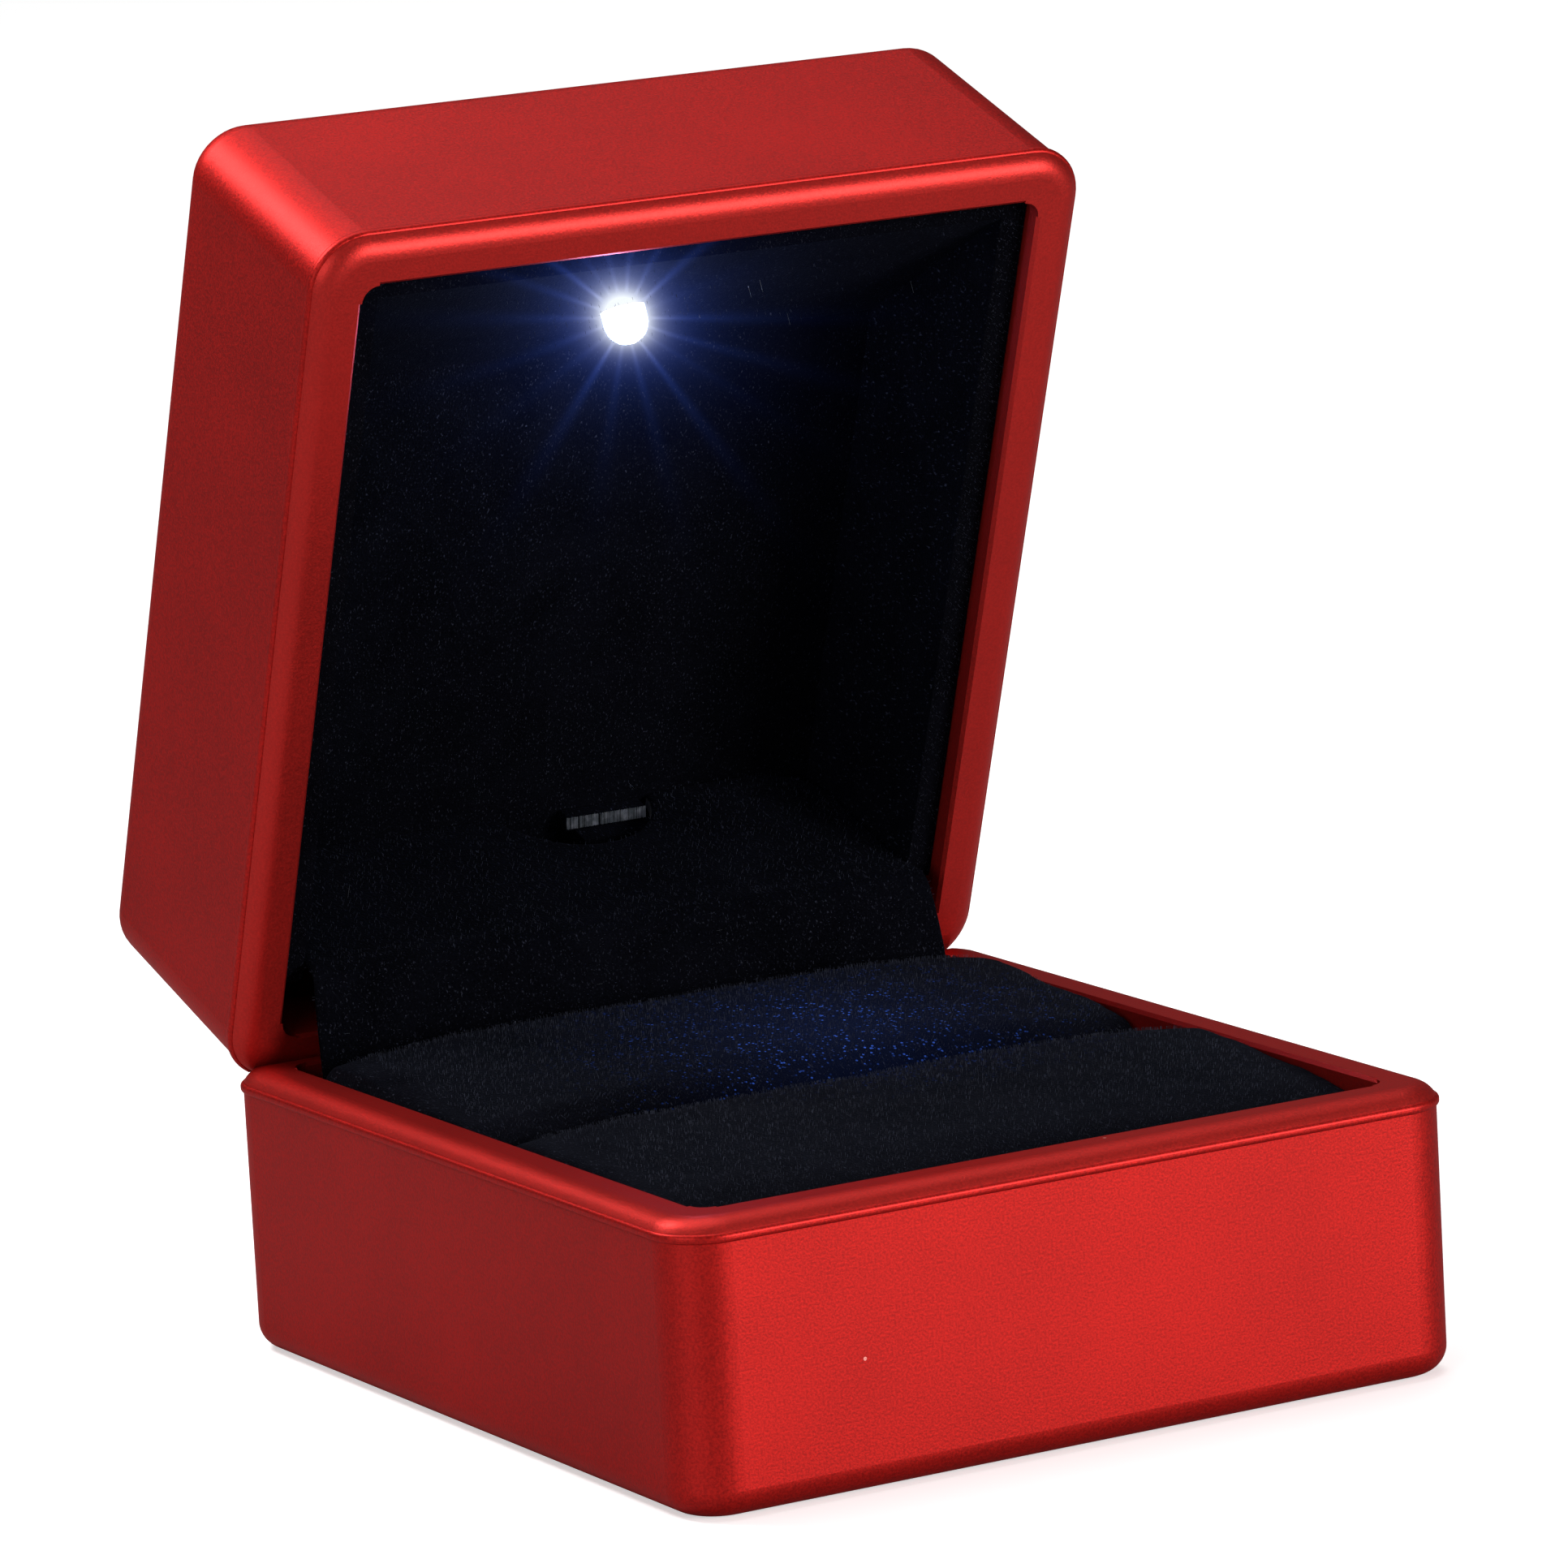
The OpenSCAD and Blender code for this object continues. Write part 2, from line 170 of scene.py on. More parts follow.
def addNode(tree, kind, sockets=None, **settings):
    node = tree.nodes.new("ShaderNode" + kind)
    for key, value in settings.items():
        setattr(node, key, value)
    for key, value in (sockets or {}).items():
        if isinstance(value, bpy.types.NodeSocket):
            tree.links.new(value, node.inputs[key])
        else:
            node.inputs[key].default_value = value
    return node


def math(tree, operation, a, b=0.0):
    return addNode(tree, "Math", {0: a, 1: b}, operation=operation).outputs[0]


def between(tree, value, low, high, outLow=0.0, outHigh=1.0):
    node = addNode(tree, "MapRange", {"Value": value, "From Min": low, "From Max": high,
                                      "To Min": outLow, "To Max": outHigh})
    return node.outputs["Result"]


def times(tree, a, b):
    return math(tree, "MULTIPLY", a, b)


def dot(tree, vector, direction):
    return addNode(tree, "VectorMath", {0: vector, 1: direction},
                   operation="DOT_PRODUCT").outputs["Value"]


def mixColour(tree, share, a, b):
    node = addNode(tree, "Mix", data_type="RGBA")
    for key, value in ((0, share), (6, a), (7, b)):
        if isinstance(value, bpy.types.NodeSocket):
            tree.links.new(value, node.inputs[key])
        else:
            node.inputs[key].default_value = value
    return node.outputs[2]


def newGroup(name, inputs, outputs):
    group = bpy.data.node_groups.new(name, "ShaderNodeTree")
    for label in inputs:
        group.interface.new_socket(label, in_out="INPUT", socket_type="NodeSocketFloat")
    for label in outputs:
        group.interface.new_socket(label, in_out="OUTPUT", socket_type="NodeSocketFloat")
    start = group.nodes.new("NodeGroupInput")
    end = group.nodes.new("NodeGroupOutput")
    groupDefaults[name] = inputs
    return group, start.outputs, end.inputs


def useGroup(tree, name, **values):
    node = tree.nodes.new("ShaderNodeGroup")
    node.node_tree = bpy.data.node_groups[name]
    for label, default in groupDefaults[name].items():
        node.inputs[label].default_value = values.get(label, default)
    return node.outputs


def newMaterial(name, **constants):
    material = bpy.data.materials.new(name)
    material.use_nodes = True
    tree = material.node_tree
    shader = tree.nodes["Principled BSDF"]
    for key, value in constants.items():
        shader.inputs[socketNames[key]].default_value = value
    return material, tree, shader


def feed(tree, shader, **sources):
    for key, value in sources.items():
        tree.links.new(value, shader.inputs[socketNames[key]])


def bumpFrom(tree, shader, height, distance):
    bump = addNode(tree, "Bump", {"Height": height, "Distance": distance, "Strength": 1.0})
    tree.links.new(bump.outputs["Normal"], shader.inputs["Normal"])


groupDefaults = {}
socketNames = {
    "colour": "Base Color", "metallic": "Metallic", "roughness": "Roughness",
    "specular": "Specular IOR Level", "edgeTint": "Specular Tint",
    "coat": "Coat Weight", "coatRoughness": "Coat Roughness",
    "sheen": "Sheen Weight", "sheenRoughness": "Sheen Roughness", "sheenTint": "Sheen Tint",
    "glow": "Emission Color", "glowStrength": "Emission Strength",
}


def makeGrain():
    # fine sprayed grain: a speckle tone and a height
    group, given, made = newGroup("sprayGrain", {"Size": 0.12, "Patch": 9.0}, ["Tone", "Height"])
    place = addNode(group, "TexCoord").outputs["Object"]
    fine = addNode(group, "TexNoise", {
        "Vector": place, "Scale": math(group, "DIVIDE", 1.0 / mm, given["Size"]),
        "Detail": 2.0, "Roughness": 0.6}).outputs[0]
    patch = addNode(group, "TexNoise", {
        "Vector": place, "Scale": math(group, "DIVIDE", 1.0 / mm, given["Patch"]),
        "Detail": 3.0, "Roughness": 0.55}).outputs[0]
    group.links.new(math(group, "ADD", times(group, fine, 0.8),
                         times(group, patch, 0.2)), made["Tone"])
    group.links.new(fine, made["Height"])


def makeSpecks():
    # scattered dust and pin holes: sparse round marks of mixed size
    group, given, made = newGroup("dustSpecks", {"Spacing": 2.6, "Share": 0.1, "Size": 0.07},
                                  ["Mask"])
    place = addNode(group, "TexCoord").outputs["Object"]
    cells = addNode(group, "TexVoronoi", {
        "Vector": place, "Scale": math(group, "DIVIDE", 1.0 / mm, given["Spacing"])})
    chance = addNode(group, "SeparateColor", {0: cells.outputs["Color"]}).outputs[0]
    kept = math(group, "LESS_THAN", chance, given["Share"])
    near = math(group, "LESS_THAN", cells.outputs["Distance"], given["Size"])
    group.links.new(times(group, kept, near), made["Mask"])


def makePile():
    # cut pile: fine fibre tone, brushed patches, bright fibre tips and a height
    group, given, made = newGroup("velvetPile", {"Fibre": 0.11, "Brush": 5.0, "Tips": 0.62},
                                  ["Tone", "Tips", "Height"])
    place = addNode(group, "TexCoord").outputs["Object"]
    fibre = addNode(group, "TexNoise", {
        "Vector": place, "Scale": math(group, "DIVIDE", 1.0 / mm, given["Fibre"]),
        "Detail": 3.0, "Roughness": 0.7}).outputs[0]
    strand = addNode(group, "TexNoise", {
        "Vector": addNode(group, "Mapping", {"Vector": place, "Rotation": (0.5, 0.7, 0.3),
                                             "Scale": (1.0, 0.28, 0.6)}).outputs[0],
        "Scale": math(group, "DIVIDE", 1.4 / mm, given["Fibre"]),
        "Detail": 2.0}).outputs[0]
    brush = addNode(group, "TexNoise", {
        "Vector": place, "Scale": math(group, "DIVIDE", 1.0 / mm, given["Brush"]),
        "Detail": 4.0, "Roughness": 0.6, "Distortion": 0.6}).outputs[0]
    tone = math(group, "ADD", times(group, fibre, 0.55),
                times(group, brush, 0.45))
    tips = between(group, strand, given["Tips"], 0.78)
    group.links.new(between(group, tone, 0.32, 0.68), made["Tone"])
    group.links.new(tips, made["Tips"])
    group.links.new(math(group, "ADD", fibre, times(group, strand, 0.7)),
                    made["Height"])


makeGrain()
makeSpecks()
makePile()


# lacquered case and rim frames
lacquer = {
    "deep": (0.31, 0.0046, 0.0032, 1),
    "bright": (0.50, 0.0092, 0.0060, 1),
    # the colour of the real dust specks, and of the painted sheen on the rim frames
    "dustAndSheen": (0.66, 0.22, 0.19, 1),
    "metallic": 0.8,
    "roughness": 0.46,
    "coat": 0.24,
    "coatRoughness": 0.42,
    "specular": 0.2,
    "edgeTint": (0.60, 0.15, 0.14, 1),
}


def makeLacquer(name, paintedLift, roughness, paintedHaze=0.0):
    material, tree, shader = newMaterial(
        name, metallic=lacquer["metallic"], coat=lacquer["coat"],
        coatRoughness=lacquer["coatRoughness"], specular=lacquer["specular"],
        edgeTint=lacquer["edgeTint"])
    grain = useGroup(tree, "sprayGrain", Size=0.17, Patch=11.0)
    specks = useGroup(tree, "dustSpecks", Spacing=3.4, Share=0.09, Size=0.04)
    # a lift above 0 lightens the whole paint: painted light, used for the rim frames
    tone = between(tree, grain["Tone"], 0.38, 0.62, paintedLift, 1.0)
    paint = mixColour(tree, tone, lacquer["deep"], lacquer["bright"])
    # the haze mixes the pale dust colour evenly into the paint: a painted sheen
    if paintedHaze:
        paint = mixColour(tree, paintedHaze, paint, lacquer["dustAndSheen"])
    feed(tree, shader, colour=mixColour(tree, specks["Mask"], paint, lacquer["dustAndSheen"]),
         roughness=between(tree, grain["Tone"], 0.3, 0.7, roughness - 0.05, roughness + 0.06))
    bumpFrom(tree, shader, grain["Height"], 0.018 * mm)
    return material


caseLacquer = makeLacquer("caseLacquer", 0.0, lacquer["roughness"])
# rim frames: the case paint made lighter and mixed with a pale painted sheen, painted light for the
# brighter-lit rims
frameLacquer = makeLacquer("frameLacquer", 0.45, lacquer["roughness"] - 0.03, 0.04)


# velvet and flock
velvet = {
    "dark": (0.0004, 0.0004, 0.0010, 1),
    "light": (0.0026, 0.0028, 0.0048, 1),
    "tip": (0.050, 0.054, 0.078, 1),
    "sheenTint": (0.50, 0.58, 0.85, 1),
    "sheenRoughness": 0.42,
    "specular": 0.012,
}


def makeVelvet(name, fibreSize, sheen, paintedGlow=None):
    material, tree, shader = newMaterial(
        name, sheen=sheen, sheenRoughness=velvet["sheenRoughness"],
        sheenTint=velvet["sheenTint"], specular=velvet["specular"],
        glowStrength=1.0 if paintedGlow else 0.0)
    pile = useGroup(tree, "velvetPile", Fibre=fibreSize, Brush=6.0)
    ground = mixColour(tree, pile["Tone"], velvet["dark"], velvet["light"])
    colour = mixColour(tree, times(tree, pile["Tips"], 0.55), ground, velvet["tip"])
    feed(tree, shader, colour=colour,
         roughness=between(tree, pile["Tone"], 0.0, 1.0, 0.98, 0.8))
    bumpFrom(tree, shader, pile["Height"], 0.09 * mm)
    # painted light laid on as glow: the lamp's halo on the liner, or glints and a pool of lamp light on
    # the rolls
    if paintedGlow:
        paintedGlow(tree, shader)
    return material


lamp = {
    "lens": (0.80, 0.87, 1.0, 1),
    "lensRim": (0.030, 0.045, 0.11, 1),
    "lensStrength": 9.0,
    "spreadAbout": (-0.48, -0.86, 0.18),    # fixed world direction at rest, to the front left
    "haloBlue": (0.030, 0.075, 0.42, 1),
    "haloWhite": (0.9, 0.95, 1.0, 1),
    "rays": 18,
    "rayThin": 8.0,
    "flatten": 1.2,        # how much lower than wide the glow is
    "core": 1.38,          # mm, radius that is as bright as the dome
    "haloReach": 2.7,      # mm, how fast the halo fades
    "wideReach": 6.0,
    "wideStrength": 0.22,
    "rayReach": 6.5,
    "rayStrength": 0.8,
}
lampLow, lampHigh = lidBox("led_bulb")
lampCentre = (lampLow + lampHigh) / 2
linerLow, linerHigh = lidBox("lid_liner")


def slantFacing():
    # which way the liner's slanted wall faces, from its sloping faces, in lid coordinates
    back = lidPlace.inverted().to_3x3()
    total = Vector((0, 0, 0))
    for face in frame["nodes"]["lid_liner"].data.polygons:
        normal = back @ face.normal
        if normal.y > 0.4 and normal.z < -0.4:
            total += normal * face.area
    return total.normalized()


slantNormal = slantFacing()


def lampTip():
    # the dome's outermost point, in lid coordinates
    back = lidPlace.inverted()
    reachOut = max((back @ v.co - lampCentre).dot(slantNormal)
                   for v in frame["nodes"]["led_bulb"].data.vertices)
    return lampCentre + slantNormal * reachOut


lampEnd = lampTip()


def fadeOut(tree, distance, reach):
    # 1 at no distance, falling off over about reach mm
    return math(tree, "EXPONENT", times(tree, distance, -2 / (reach * mm)))


def paintedLampGlow(tree, shader):
    # the lamp's halo and streaks, painted as glow on the liner, square to one fixed direction
    middle = lidPlace @ ((lampCentre + lampEnd) / 2)
    facing = Vector(lamp["spreadAbout"]).normalized()
    across = Vector((0, 0, 1)).cross(-facing).normalized()
    upwards = -facing.cross(across)
    place = addNode(tree, "TexCoord").outputs["Object"]
    away = addNode(tree, "VectorMath", {0: place, 1: middle}, operation="SUBTRACT").outputs[0]
    sideways = dot(tree, away, across)
    along = times(tree, dot(tree, away, upwards), lamp["flatten"])
    radius = math(tree, "SQRT", math(tree, "ADD", times(tree, sideways, sideways),
                                     times(tree, along, along)))
    beyond = math(tree, "MAXIMUM", math(tree, "SUBTRACT", radius, lamp["core"] * mm), 0.0)
    angle = math(tree, "ARCTAN2", along, sideways)
    wave = math(tree, "COSINE", times(tree, angle, lamp["rays"] / 2))
    thin = math(tree, "POWER", math(tree, "ABSOLUTE", wave), lamp["rayThin"])
    turned = addNode(tree, "CombineXYZ", {0: angle}).outputs[0]
    uneven = addNode(tree, "TexNoise", {"Vector": turned, "Scale": 2.3, "Detail": 1.0}).outputs[0]
    rays = times(tree, times(tree, thin, between(tree, uneven, 0.3, 0.7)),
                 fadeOut(tree, radius, lamp["rayReach"]))
    halo = fadeOut(tree, beyond, lamp["haloReach"])
    wide = times(tree, fadeOut(tree, beyond, lamp["wideReach"]), lamp["wideStrength"])
    strength = math(tree, "ADD", math(tree, "ADD", halo, wide),
                    times(tree, rays, lamp["rayStrength"]))
    tint = mixColour(tree, math(tree, "POWER", halo, 1.7), lamp["haloBlue"], lamp["haloWhite"])
    feed(tree, shader, glow=mixColour(tree, math(tree, "MINIMUM", strength, 1.0), (0, 0, 0, 1),
                                      tint))


# painted light on the rolls: glints and a faint pool of the lamp's blue light, laid on as glow
paintedGlints = {
    "pool": (5, 8, 21.5),      # mm, where the lamp's light falls
    "reach": 24,
    "cell": 0.22,
    "blue": (0.06, 0.18, 0.95, 1),
    "strength": 0.9,
    "wash": 0.018,
}


def paintedLampGlints(tree, shader):
    # painted glints in the pile and a painted pool of blue light where the lamp shines on the rolls
    place = addNode(tree, "TexCoord").outputs["Object"]
    cells = addNode(tree, "TexVoronoi", {"Vector": place, "Scale": 1 / (paintedGlints["cell"] * mm)})
    chance = addNode(tree, "SeparateColor", {0: cells.outputs["Color"]}).outputs[1]
    spot = math(tree, "LESS_THAN", cells.outputs["Distance"], 0.42)
    lucky = between(tree, chance, 0.80, 1.0)
    pool = addNode(tree, "VectorMath", {0: place, 1: Vector(paintedGlints["pool"]) * mm},
                   operation="DISTANCE").outputs["Value"]
    lit = between(tree, pool, paintedGlints["reach"] * mm, 2 * mm)
    patchy = addNode(tree, "TexNoise", {"Vector": place, "Scale": 1 / (3.0 * mm),
                                        "Detail": 2.0}).outputs[0]
    glint = times(tree, times(tree, spot, lucky),
                  times(tree, math(tree, "POWER", lit, 1.6), between(tree, patchy, 0.35, 0.65)))
    strength = math(tree, "ADD", times(tree, glint, paintedGlints["strength"]),
                    times(tree, math(tree, "POWER", lit, 2.2), paintedGlints["wash"]))
    feed(tree, shader, glow=mixColour(tree, strength, (0, 0, 0, 1), paintedGlints["blue"]))


rollVelvet = makeVelvet("rollVelvet", 0.17, 0.024, paintedLampGlints)
panelVelvet = makeVelvet("panelVelvet", 0.19, 0.007)
linerFlock = makeVelvet("linerFlock", 0.17, 0.006, paintedLampGlow)


# plainer finishes of the inner parts
def makePlain(name, low, high, roughness, size=0.4, bump=0.01, **constants):
    material, tree, shader = newMaterial(name, **constants)
    grain = useGroup(tree, "sprayGrain", Size=size, Patch=7.0)
    specks = useGroup(tree, "dustSpecks", Spacing=1.9, Share=0.12, Size=0.06)
    ground = mixColour(tree, between(tree, grain["Tone"], 0.35, 0.65), low, high)
    worn = [min(1.0, 1.5 * c + 0.03) for c in high[:3]] + [1]
    feed(tree, shader, colour=mixColour(tree, specks["Mask"], ground, worn),
         roughness=between(tree, grain["Tone"], 0.3, 0.7, roughness, min(1.0, roughness + 0.15)))
    bumpFrom(tree, shader, grain["Height"], bump * mm)
    return material


foam = makePlain("foam", (0.42, 0.41, 0.38, 1), (0.60, 0.58, 0.53, 1), 0.85, 0.5, 0.12)
innerPlastic = makePlain("innerPlastic", (0.010, 0.010, 0.012, 1), (0.022, 0.022, 0.025, 1), 0.45)
card = makePlain("card", (0.006, 0.006, 0.007, 1), (0.014, 0.014, 0.016, 1), 0.85, 0.3, 0.03)
hingeBrass = makePlain("hingeBrass", (0.50, 0.33, 0.11, 1), (0.72, 0.52, 0.22, 1), 0.28, 0.3,
                       0.004, metallic=1.0)
brightSteel = makePlain("brightSteel", (0.50, 0.50, 0.51, 1), (0.68, 0.68, 0.69, 1), 0.22, 0.3,
                        0.004, metallic=1.0)
tinnedWire = makePlain("tinnedWire", (0.52, 0.52, 0.50, 1), (0.70, 0.70, 0.68, 1), 0.3, 0.2,
                       0.003, metallic=1.0)
boardGreen = makePlain("boardGreen", (0.010, 0.085, 0.030, 1), (0.020, 0.13, 0.050, 1), 0.35)
resistorCoat = makePlain("resistorCoat", (0.45, 0.33, 0.18, 1), (0.58, 0.44, 0.26, 1), 0.4)
cellSteel = makePlain("cellSteel", (0.55, 0.55, 0.56, 1), (0.70, 0.70, 0.71, 1), 0.25, 0.25,
                      0.003, metallic=1.0)
clipMetal = makePlain("clipMetal", (0.60, 0.52, 0.36, 1), (0.74, 0.66, 0.48, 1), 0.3, 0.25,
                      0.003, metallic=1.0)
wireSleeve = makePlain("wireSleeve", (0.35, 0.02, 0.02, 1), (0.48, 0.035, 0.03, 1), 0.45)
plungerPlastic = makePlain("plungerPlastic", (0.60, 0.60, 0.58, 1), (0.74, 0.74, 0.71, 1), 0.4)


def makeLens():
    material, tree, shader = newMaterial(
        "lampLens", roughness=0.25, glow=lamp["lens"], glowStrength=lamp["lensStrength"],
        coat=0.4, coatRoughness=0.1)
    grain = useGroup(tree, "sprayGrain", Size=0.25, Patch=1.5)
    rim = addNode(tree, "LayerWeight", {"Blend": 0.5}).outputs["Facing"]
    feed(tree, shader, colour=mixColour(tree, grain["Tone"], (0.70, 0.78, 0.95, 1),
                                        (0.92, 0.95, 1.0, 1)),
         glow=mixColour(tree, between(tree, rim, 0.45, 0.85), lamp["lens"], lamp["lensRim"]))
    bumpFrom(tree, shader, grain["Height"], 0.01 * mm)
    return material


lampLens = makeLens()

finishes = {
    caseLacquer: ["base_shell", "lid_shell"],
    frameLacquer: ["base_rim_frame", "lid_rim_frame"],
    linerFlock: ["lid_liner", "liner_tongue"],
    foam: ["front_roll_foam", "rear_roll_foam"],
    innerPlastic: ["insert_tray", "hinge_cover", "led_holder", "switch_body", "switch_bracket"],
    card: ["floor_card"],
    hingeBrass: ["hinge_base_leaf", "hinge_lid_leaf"],
    brightSteel: ["hinge_pin", "base_hinge_screws", "lid_hinge_screws"],
    lampLens: ["led_bulb"],
    tinnedWire: ["led_leads"],
    boardGreen: ["circuit_board"],
    resistorCoat: ["resistor"],
    cellSteel: ["coin_cells"],
    clipMetal: ["cell_clips"],
    wireSleeve: ["switch_leads"],
    plungerPlastic: ["switch_plunger"],
}
for finish, names in finishes.items():
    for name in names:
        node = frame["nodes"][name]
        node.data.materials.clear()
        node.data.materials.append(finish)
say("finishes on the made parts")


# ring rolls: velvet over foam
rollShape = {
    "frontGap": 0.1,       # all in mm but the pressure and frames
    "rowDrop": 0.06,       # every shaped row leaves the flat top by this, so it is shaped once
    "voxel": 0.8,
    "pressure": 4.0,
    "frames": 20,
    "held": 1.5,           # height of the underside that stays put
    "cap": 0.45,           # that a point may swell
    "coverThick": 1.0,
    "lumps": [(4, 0.22), (1.1, 0.05)],      # size and height
}
# reach: how far the ends press past the space, drop: of the whole top, rightFall: of the right end,
# ends: fall at distances in from each end, profile: fall at distances back from the front
frontRollShape = {
    "name": "frontRingRoll", "node": "front_ring_roll", "foam": "front_roll_foam",
    "foamName": "frontRollFoam", "reach": 0.6, "drop": 0.2, "rightFall": 0.2,
    "ends": [(0.0, 0.75), (2.0, 0.55), (5.0, 0.28), (9.0, 0.1), (14.0, 0.0)],
    "profile": [(0.0, 4.6), (0.7, 2.9), (2.4, 1.8), (6.0, 1.1), (12.0, 0.5), (18.0, 0.12),
                (22.4, 0.0), (25.0, 0.5), (26.8, 1.9), (27.7, 4.4)],
}
rearRollShape = {
    "name": "rearRingRoll", "node": "rear_ring_roll", "foam": "rear_roll_foam",
    "foamName": "rearRollFoam", "reach": 0.2, "drop": 0.25, "rightFall": 0.05,
    "ends": [(0.0, 0.9), (2.0, 0.65), (5.0, 0.35), (9.0, 0.12), (14.0, 0.0)],
    "profile": [(0.0, 5.0), (0.9, 2.6), (3.2, 1.4), (8.0, 0.85), (14.0, 0.4), (20.3, 0.0),
                (22.8, 0.25), (24.2, 1.3), (24.9, 3.2)],
}


def swell(piece):
    # pressed out by Cloth from its pinned underside, with the movement of each point capped
    low = min(v.co.z for v in piece.data.vertices)
    held = piece.vertex_groups.new(name="held")
    held.add([v.index for v in piece.data.vertices if v.co.z < low + rollShape["held"] * mm],
             1.0, "REPLACE")
    before = points(piece)
    puff = piece.modifiers.new("Puff", "CLOTH")
    cloth = puff.settings
    cloth.quality = 4
    cloth.tension_stiffness = cloth.compression_stiffness = 15
    cloth.shear_stiffness = 5
    cloth.bending_stiffness = 0.5
    cloth.vertex_group_mass = "held"
    cloth.use_pressure = True
    cloth.uniform_pressure_force = rollShape["pressure"]
    cloth.effector_weights.gravity = 0
    puff.point_cache.frame_start = 1
    puff.point_cache.frame_end = rollShape["frames"]
    for step in range(1, rollShape["frames"] + 1):
        bpy.context.scene.frame_set(step)
    makeActive(piece)
    bpy.ops.object.modifier_apply(modifier=puff.name)
    moved = points(piece) - before
    far = np.linalg.norm(moved, axis=1, keepdims=True)
    moved *= np.minimum(1.0, rollShape["cap"] * mm / np.maximum(far, 1e-9))
    piece.data.vertices.foreach_set("co", (before + moved).ravel())
    piece.vertex_groups.clear()
    bpy.context.scene.frame_set(1)


def shapeRoll(shape):
    # a block cut into rows from front to back and near both ends, each row lowered to its height
    low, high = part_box(shape["node"])
    reach, gap = shape["reach"] * mm, rollShape["frontGap"] * mm
    low += Vector((-reach, gap, 0))
    high -= Vector((-reach, gap, shape["drop"] * mm))
    size, middle = high - low, (low + high) / 2
    clearSelection()
    bpy.ops.mesh.primitive_cube_add(size=1, location=middle, scale=size)
    roll = nameNew(shape["name"])
    settle(roll)
    for row in shape["profile"][1:-1]:
        pickAll(roll)
        bpy.ops.mesh.bisect(plane_co=(0, low.y + row[0] * mm, 0), plane_no=(0, 1, 0))
    ends = []                      # x of each cut near an end, and how far it falls
    for side, wall in ((-1, low.x), (1, high.x)):
        for inward, fall in shape["ends"]:
            tilt = shape["rightFall"] * (0.5 + 0.5 * side * (1 - inward / 12))
            ends.append((wall - side * inward * mm, fall + tilt))
    for edge, fall in ends:
        pickAll(roll)
        bpy.ops.mesh.bisect(plane_co=(edge, 0, 0), plane_no=(1, 0, 0))
    depth = shape["profile"][-1][0] * mm
    for back, fall in shape["profile"]:
        row = low.y + back * mm * size.y / depth if back * mm >= depth else low.y + back * mm
        pick(roll, lambda p: p.z > high.z - 0.05 * mm and abs(p.y - row) < 0.02 * mm)
        bpy.ops.transform.translate(value=(0, 0, -rollShape["rowDrop"] * mm - fall * mm))
    for edge, fall in ends:
        pick(roll, lambda p: p.z > middle.z and abs(p.x - edge) < 0.02 * mm)
        bpy.ops.transform.translate(value=(0, 0, -fall * mm))
    stopEditing()
    return roll


def makeRoll(shape):
    roll = shapeRoll(shape)
    roll.data.remesh_voxel_size = rollShape["voxel"] * mm
    makeActive(roll)
    bpy.ops.object.voxel_remesh()
    applyNow(roll, "SMOOTH", factor=0.5, iterations=2)
    swell(roll)
    applyNow(roll, "SMOOTH", factor=0.5, iterations=1)
    bpy.ops.object.duplicate()
    inner = nameNew(shape["foamName"])
    applyNow(inner, "DISPLACE", strength=-rollShape["coverThick"] * mm, mid_level=0.0)
    applyNow(roll, "SUBSURF", levels=1, render_levels=1)
    for size, height in rollShape["lumps"]:
        softLumps(roll, size * mm, height * mm)
    for piece, finish, node in ((roll, rollVelvet, shape["node"]), (inner, foam, shape["foam"])):
        makeActive(piece)
        bpy.ops.object.shade_smooth()
        piece.data.materials.clear()
        piece.data.materials.append(finish)
        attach(piece, "base")
        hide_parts(node)
    return roll


frontRoll = makeRoll(frontRollShape)
rearRoll = makeRoll(rearRollShape)
say("ring rolls")


# velvet flap: one sheet from behind the rear roll up over the hinge and along the lid
flapShape = {
    "name": "hingeFlap",
    "thick": 0.35,
    "uprightTo": 2.7,      # height at which the flap starts to lean back
    "rowsUp": [(0.0, 25.2), (0.32, 25.3), (0.62, 25.15), (0.92, 24.95)],  # share of the cover, half width
    "shoulder": 0.3,       # clear of the hinge cover's top edge
    "kinkHalf": 24.7,
    "onLid": [(0.5, 24.7), (1.5, 24.3), (4.0, 24.15), (8.0, 24.15)],      # depth, half width
    "floorHalf": 24.15,
    "cornerRound": 3.6,
    "cornerTurns": (0, 20, 38, 54, 68, 80, 88),
    "cutsAcross": 23,
    "hump": (17.5, 12.0, 0.9, 6.0),   # x, depth in the lid, height and reach, mm
    "lumps": (6, 0.3),
}
lidUp = lidPlace.to_3x3() @ Vector((0, -1, 0))
notch = {"x": 4.6, "width": 12.5, "deep": 5.4, "cutterHigh": 6}


def flapRows():
    # y, z and half width in mm of each row of the sheet, from behind the rear roll to the lid's back
    coverLow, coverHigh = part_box("cover_velvet")
    floorLow, floorHigh = lidBox("floor_velvet")
    clear = flapShape["shoulder"] * mm
    leanFrom = coverLow.z + flapShape["uprightTo"] * mm
    leanTo = coverHigh.y - 0.4 * mm
    rows = []
    for share, half in flapShape["rowsUp"]:
        z = coverLow.z + share * (coverHigh.z - coverLow.z)
        lean = max(0.0, (z - leanFrom) / (coverHigh.z - leanFrom))
        rows.append((coverLow.y + lean * (leanTo - coverLow.y), z, half))
    rows.append((coverHigh.y - clear, coverHigh.z + clear, flapShape["kinkHalf"]))
    depths = list(flapShape["onLid"])
    bend = flapShape["cornerRound"]
    lastDepth = floorHigh.z - 0.1 * mm
    for turn in flapShape["cornerTurns"]:
        depths.append((lastDepth / mm - bend + bend * sin(radians(turn)),
                       flapShape["floorHalf"] - bend + bend * cos(radians(turn))))
    for depth, half in depths:
        p = lidPlace @ Vector((0, floorLow.y - (clear if depth < 1 else 0), depth * mm))
        rows.append((p.y, p.z, half))
    return rows


